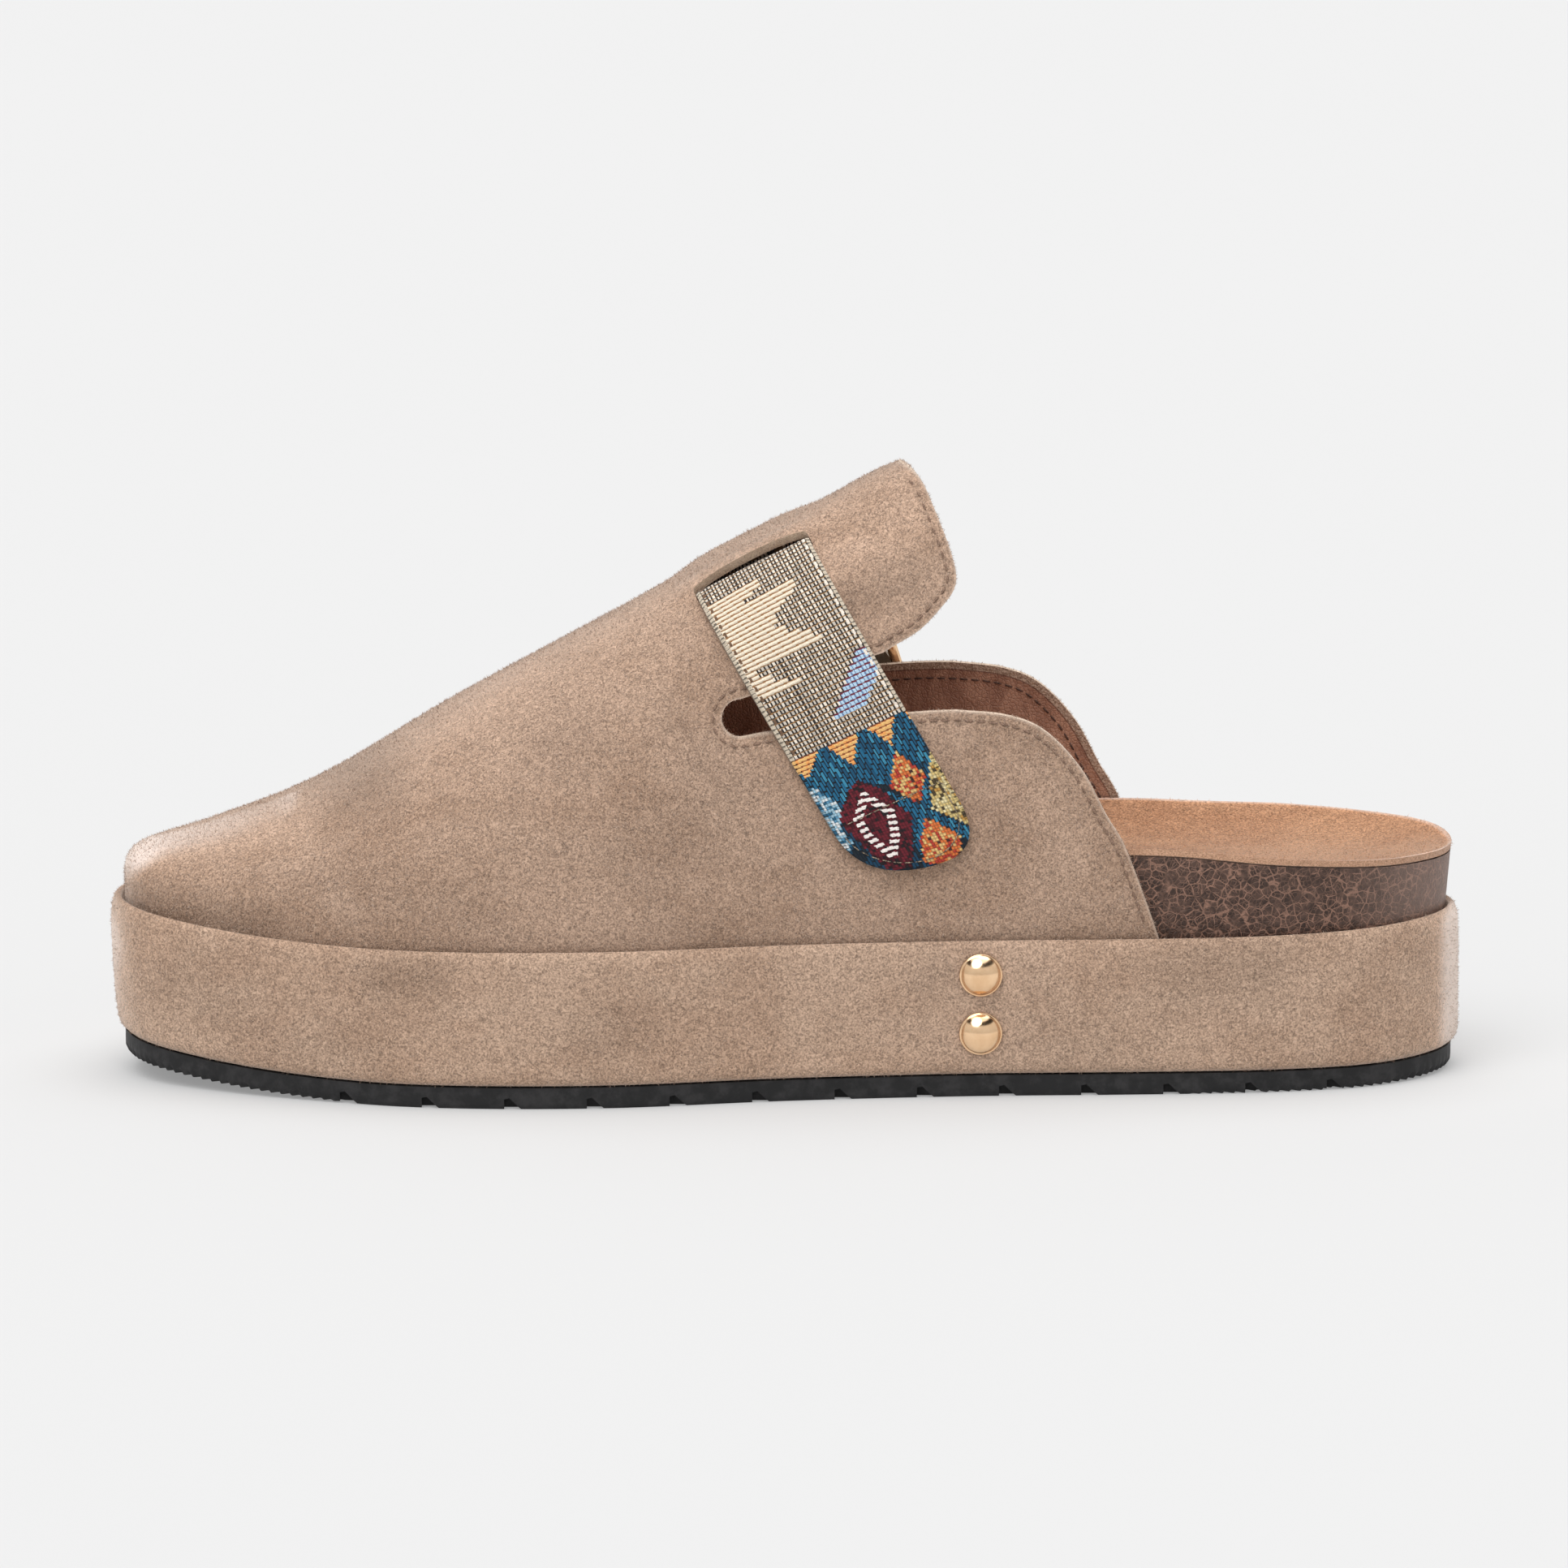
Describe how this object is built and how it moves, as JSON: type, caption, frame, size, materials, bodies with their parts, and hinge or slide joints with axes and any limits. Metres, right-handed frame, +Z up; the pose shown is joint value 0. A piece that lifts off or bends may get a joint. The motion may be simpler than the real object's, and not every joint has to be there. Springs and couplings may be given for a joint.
{
  "type": "platform mule",
  "caption": "Right-foot platform mule in taupe suede: thick wrapped sole, moulded footbed, open heel, tongue flap and a woven instep strap with a buckle",
  "frame": {"origin": "on the ground under the middle of the sole", "axes": "+X runs from toe to heel along the shoe, +Y to the outer side of the foot where the buckle is, +Z up from the ground"},
  "size_m": [0.2706, 0.0983, 0.1233],
  "materials": {
    "tread_rubber": "matt black rubber with side notches",
    "suede": "taupe microsuede, short nap",
    "cork": "dark brown footbed edge with a fine lighter crackle",
    "insole_suede": "tan suede lining",
    "webbing": "patterned woven webbing",
    "gold_metal": "polished pale rose gold"
  },
  "bodies": {
    "root": {"outsole": "tread_rubber", "platform": "suede", "footbed": "cork", "insole": "insole_suede", "upper": "suede", "strap": "webbing", "buckle_frame": "gold_metal", "buckle_prong": "gold_metal", "buckle_tab": "suede", "stud_upper": "gold_metal", "stud_lower": "gold_metal"}
  },
  "joints": []
}
